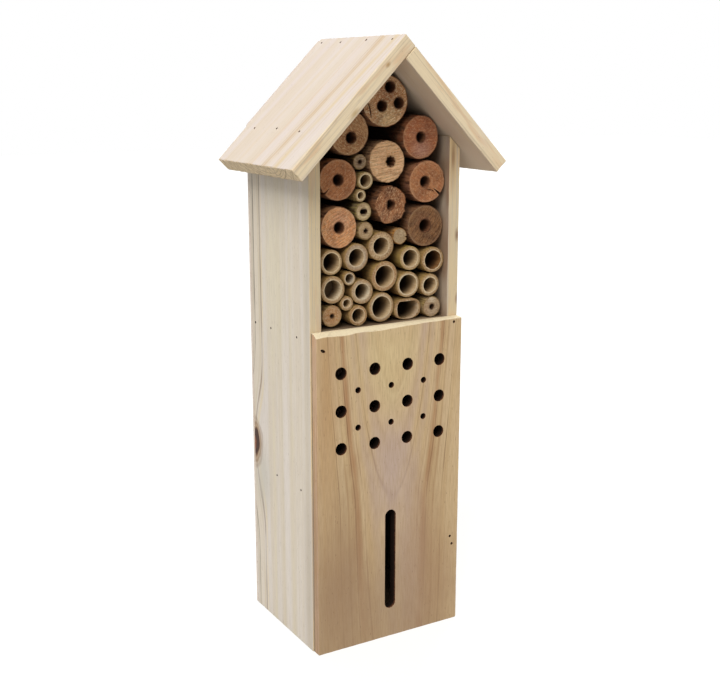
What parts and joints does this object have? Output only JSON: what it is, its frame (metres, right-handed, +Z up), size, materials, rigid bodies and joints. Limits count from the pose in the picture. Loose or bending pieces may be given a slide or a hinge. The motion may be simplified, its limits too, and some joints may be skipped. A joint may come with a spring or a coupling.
{
  "type": "insect hotel",
  "caption": "Tall gabled wooden insect house: drilled logs, bamboo canes and pithy stems under the roof, and a front board with round nesting holes and a slot below.",
  "frame": {"origin": "on the ground, under the middle of the overall box", "axes": "+Z up, -Y towards the front board, +X to the right seen from the front"},
  "size_m": [0.1866, 0.1302, 0.478],
  "materials": {
    "side_boards": "sawn and sanded softwood, bare",
    "roof_boards": "planed pale softwood, bare",
    "front_board": "planed softwood with a bold grain, bare",
    "plywood": "thin reddish plywood, bare",
    "logs": "sawn and drilled round wood",
    "bamboo": "sawn bamboo",
    "stems": "sawn pithy stems",
    "staples": "zinc-plated wire",
    "brads": "dulled steel"
  },
  "bodies": {
    "root": {"left_side_panel": "side_boards", "right_side_panel": "side_boards", "roof_board_left": "roof_boards", "roof_board_right": "roof_boards", "back_panel": "plywood", "front_panel": "front_board", "tube_shelf": "side_boards", "divider_shelf": "side_boards", "base_board": "side_boards", "log_1": "logs", "log_2": "logs", "log_3": "logs", "log_4": "logs", "log_5": "logs", "log_6": "logs", "log_7": "logs", "log_8": "logs", "log_9": "logs", "cane_1": "bamboo", "cane_2": "bamboo", "cane_3": "bamboo", "cane_4": "bamboo", "cane_5": "bamboo", "cane_6": "bamboo", "cane_7": "bamboo", "cane_8": "bamboo", "cane_9": "bamboo", "cane_10": "bamboo", "cane_11": "bamboo", "cane_12": "bamboo", "cane_13": "bamboo", "reed_1": "bamboo", "reed_2": "bamboo", "reed_3": "bamboo", "reed_4": "bamboo", "stem_1": "stems", "stem_2": "stems", "stem_3": "stems", "stem_4": "stems", "stem_5": "stems", "stem_6": "stems", "staple_roof_left_1": "staples", "staple_roof_left_2": "staples", "staple_roof_right_1": "staples", "staple_roof_right_2": "staples", "staple_side_left_1": "staples", "staple_side_left_2": "staples", "staple_side_left_3": "staples", "staple_side_left_4": "staples", "staple_side_right_1": "staples", "staple_side_right_2": "staples", "staple_side_right_3": "staples", "staple_side_right_4": "staples", "brad_left_1": "brads", "brad_right_1": "brads", "brad_right_2": "brads", "brad_right_3": "brads"}
  },
  "joints": []
}
